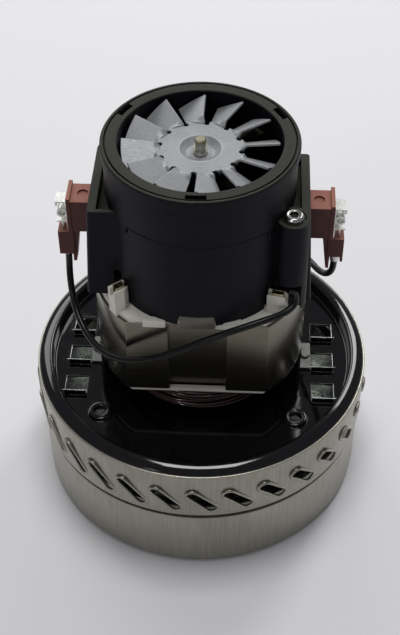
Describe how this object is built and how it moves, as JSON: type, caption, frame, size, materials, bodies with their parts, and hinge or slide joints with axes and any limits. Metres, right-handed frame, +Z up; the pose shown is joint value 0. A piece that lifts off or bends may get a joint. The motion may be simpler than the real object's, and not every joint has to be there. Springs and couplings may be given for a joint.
{
  "type": "vacuum motor",
  "caption": "By-pass suction motor: pressed-steel turbine case with leaning louvres, open series motor on a painted plate, side brush holders and a top cooling fan.",
  "frame": {"origin": "centre of the turbine case's flat underside", "axes": "+Z up the shaft, from the turbine case to the cooling fan; the two brushes lie along X; -Y is the side with the open skirt notch and the crossing lead"},
  "size_m": [0.1462, 0.147, 0.1745],
  "materials": {
    "case_steel": "brushed round the axis",
    "ring_steel": "mill finish, satin",
    "black_paint": "gloss black",
    "zinc_steel": "bright zinc",
    "aluminium_sheet": "mill finish",
    "ground_steel": "ground",
    "laminations": "stacked sheet, satin",
    "copper_wire": "enamelled, dark copper",
    "copper_bar": "turned copper",
    "insulator": "off-white moulding",
    "brass_strip": "stamped",
    "black_moulding": "satin black",
    "screw_steel": "bright zinc",
    "phenolic": "red-brown moulding",
    "carbon": "pressed carbon",
    "spring_steel": "drawn wire",
    "tinned_strip": "tinned",
    "fan_aluminium": "stamped, satin",
    "lead_sleeve": "smooth black sleeve"
  },
  "bodies": {
    "motor_frame": {"inlet_shell": "case_steel", "exhaust_ring": "ring_steel", "base_plate": "black_paint", "bearing_cup": "zinc_steel", "stage_plate": "case_steel", "return_guide": "aluminium_sheet", "lower_bearing_outer_race": "ground_steel", "upper_bearing_outer_race": "ground_steel", "wave_washer": "ground_steel", "stator_core": "laminations", "field_coil_core_front": "copper_wire", "field_coil_front": "copper_wire", "field_coil_core_rear": "copper_wire", "field_coil_rear": "copper_wire", "upper_insulator": "insulator", "lower_insulator": "insulator", "coil_terminals": "brass_strip", "stator_brackets": "zinc_steel", "bracket_rivets": "zinc_steel", "motor_housing": "black_moulding", "housing_screws": "screw_steel", "lead_front": "lead_sleeve", "lead_rear": "lead_sleeve", "brush_holder_right": "phenolic", "brush_tube_right": "brass_strip", "brush_spring_right": "spring_steel", "brush_end_plate_right": "brass_strip", "brush_terminal_right": "tinned_strip", "lead_crimp_right": "tinned_strip", "brush_holder_left": "phenolic", "brush_tube_left": "brass_strip", "brush_spring_left": "spring_steel", "brush_end_plate_left": "brass_strip", "brush_terminal_left": "tinned_strip", "lead_crimp_left": "tinned_strip"},
    "rotor": {"shaft": "ground_steel", "first_impeller": "aluminium_sheet", "second_impeller": "aluminium_sheet", "impeller_washers": "zinc_steel", "impeller_spacers": "zinc_steel", "impeller_nut": "zinc_steel", "lower_bearing_inner_race": "ground_steel", "upper_bearing_inner_race": "ground_steel", "armature_core": "laminations", "armature_windings": "copper_wire", "armature_insulators": "insulator", "commutator_hub": "phenolic", "commutator_segments": "copper_bar", "cooling_fan": "fan_aluminium", "fan_bush": "zinc_steel"},
    "lower_ball_set": {"lower_bearing_balls": "ground_steel"},
    "upper_ball_set": {"upper_bearing_balls": "ground_steel"},
    "right_brush": {"brush_right": "carbon"},
    "left_brush": {"brush_left": "carbon"}
  },
  "joints": [
    {"name": "rotor_spin", "type": "hinge", "parent": "motor_frame", "child": "rotor", "pos_m": [0, 0, 0.1], "axis": [0, 0, 1], "continuous": true},
    {"name": "lower_balls_roll", "type": "hinge", "parent": "motor_frame", "child": "lower_ball_set", "pos_m": [0, 0, 0.0502], "axis": [0, 0, 1], "continuous": true},
    {"name": "upper_balls_roll", "type": "hinge", "parent": "motor_frame", "child": "upper_ball_set", "pos_m": [0, 0, 0.1596], "axis": [0, 0, 1], "continuous": true},
    {"name": "right_brush_slide", "type": "slide", "parent": "motor_frame", "child": "right_brush", "axis": [1, 0, 0], "range_m": [0, 0.005], "stiffness_N_per_m": 120, "springref_m": -0.012, "deforming": ["brush_spring_right"]},
    {"name": "left_brush_slide", "type": "slide", "parent": "motor_frame", "child": "left_brush", "axis": [-1, 0, 0], "range_m": [0, 0.005], "stiffness_N_per_m": 120, "springref_m": -0.012, "deforming": ["brush_spring_left"]}
  ],
  "couplings": [
    {"joint": "lower_balls_roll", "follows": "rotor_spin", "ratio": 0.37},
    {"joint": "upper_balls_roll", "follows": "rotor_spin", "ratio": 0.37}
  ]
}
